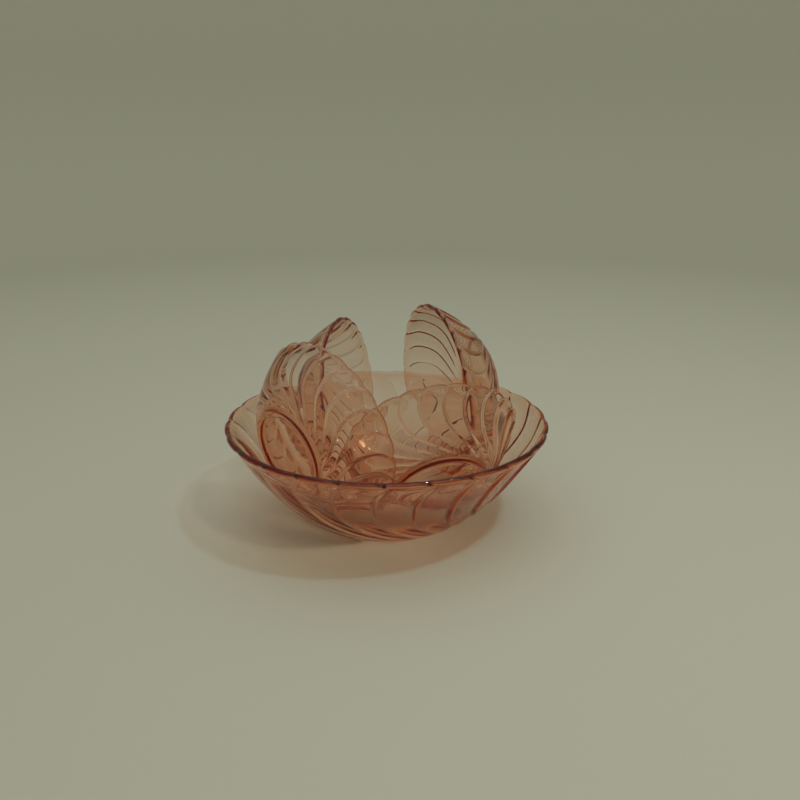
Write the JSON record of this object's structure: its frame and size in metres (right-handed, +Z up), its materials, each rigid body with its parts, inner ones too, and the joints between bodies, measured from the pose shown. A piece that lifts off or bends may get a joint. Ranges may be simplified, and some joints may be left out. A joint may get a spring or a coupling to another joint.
{
  "type": "glass bowl set",
  "caption": "Pressed pink glass serving bowl with swirled petals and a scalloped rim, holding matching dessert bowls stood on edge inside it.",
  "frame": {"origin": "centre of the serving bowl's foot ring, on the table", "axes": "+Z up out of the serving bowl's mouth, -Y towards the front, +X to the right"},
  "size_m": [0.2252, 0.2252, 0.146],
  "materials": {
    "serving_glass": "polished pressed glass, rose pink",
    "dessert_glass": "polished pressed glass, rose pink"
  },
  "bodies": {
    "serving": {"serving_bowl": "serving_glass"},
    "left_front": {"dessert_bowl_left_front": "dessert_glass"},
    "left_back": {"dessert_bowl_left_back": "dessert_glass"},
    "right_front": {"dessert_bowl_right_front": "dessert_glass"},
    "right_back": {"dessert_bowl_right_back": "dessert_glass"}
  },
  "joints": [
    {"name": "left_front_lift", "type": "slide", "parent": "serving", "child": "left_front", "axis": [-0.2418, -0.2418, 0.9397], "range_m": [0, 0.2]},
    {"name": "left_back_lift", "type": "slide", "parent": "left_front", "child": "left_back", "axis": [0.147, 0.147, 0.9782], "range_m": [0, 0.2]},
    {"name": "right_front_lift", "type": "slide", "parent": "serving", "child": "right_front", "axis": [0, 0, 1], "range_m": [0, 0.2]},
    {"name": "right_back_lift", "type": "slide", "parent": "right_front", "child": "right_back", "axis": [0, 0, 1], "range_m": [0, 0.2]}
  ]
}
